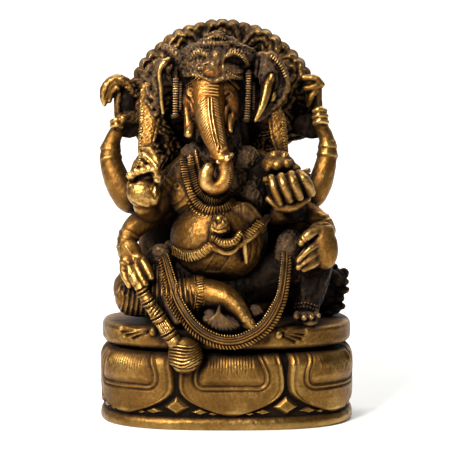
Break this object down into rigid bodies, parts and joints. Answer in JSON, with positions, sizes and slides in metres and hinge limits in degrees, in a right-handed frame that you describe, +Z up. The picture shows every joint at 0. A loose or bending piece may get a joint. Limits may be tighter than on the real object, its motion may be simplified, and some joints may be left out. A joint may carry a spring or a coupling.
{
  "type": "hindu deity statue",
  "caption": "Seated elephant-headed deity figurine in cast brass, with several arms and a scalloped halo, on a lotus-petal base.",
  "frame": {"origin": "middle of the footprint, on the ground", "axes": "+Z up, -Y to the front where the figure faces, +X to a viewer's right, on the side of the mouse"},
  "size_m": [0.0958, 0.06, 0.1508],
  "materials": {
    "polished_brass": "cast, rubbed bright on the high spots",
    "aged_brass": "cast, brown patina",
    "dark_brass": "cast, nearly black patina"
  },
  "bodies": {
    "root": {"seat_slab": "aged_brass", "lotus_drum": "aged_brass", "plinth_ring": "polished_brass", "petal_1": "polished_brass", "petal_2": "polished_brass", "petal_3": "polished_brass", "petal_4": "polished_brass", "petal_5": "polished_brass", "petal_6": "polished_brass", "petal_bud_1": "polished_brass", "petal_bud_2": "polished_brass", "petal_bud_3": "polished_brass", "petal_bud_4": "polished_brass", "petal_bud_5": "polished_brass", "petal_bud_6": "polished_brass", "torso": "polished_brass", "head": "aged_brass", "trunk": "polished_brass", "tusk_right": "polished_brass", "tusk_left": "polished_brass", "crown": "aged_brass", "ear_right": "aged_brass", "ear_left": "aged_brass", "halo_plate": "dark_brass", "halo_petal_band": "aged_brass", "back_arm_right": "polished_brass", "back_arm_left": "polished_brass", "back_hand_right": "polished_brass", "back_hand_left": "polished_brass", "goad": "aged_brass", "axe": "aged_brass", "middle_arm_right": "polished_brass", "middle_arm_left": "polished_brass", "lower_arm_right": "polished_brass", "lower_arm_left": "polished_brass", "blessing_hand": "polished_brass", "sweets_bowl": "dark_brass", "sweets_heap": "aged_brass", "bowl_hand": "polished_brass", "mace_hand": "polished_brass", "knee_hand": "polished_brass", "folded_leg": "aged_brass", "folded_foot": "polished_brass", "raised_leg": "aged_brass", "raised_foot": "aged_brass", "lap_cloth": "dark_brass", "sash_loop": "aged_brass", "snake_belt": "polished_brass", "snake_head": "polished_brass", "necklace": "aged_brass", "shawl_right": "aged_brass", "shawl_left": "aged_brass", "mace_shaft": "polished_brass", "mace_head": "polished_brass", "mouse": "dark_brass"}
  },
  "joints": []
}
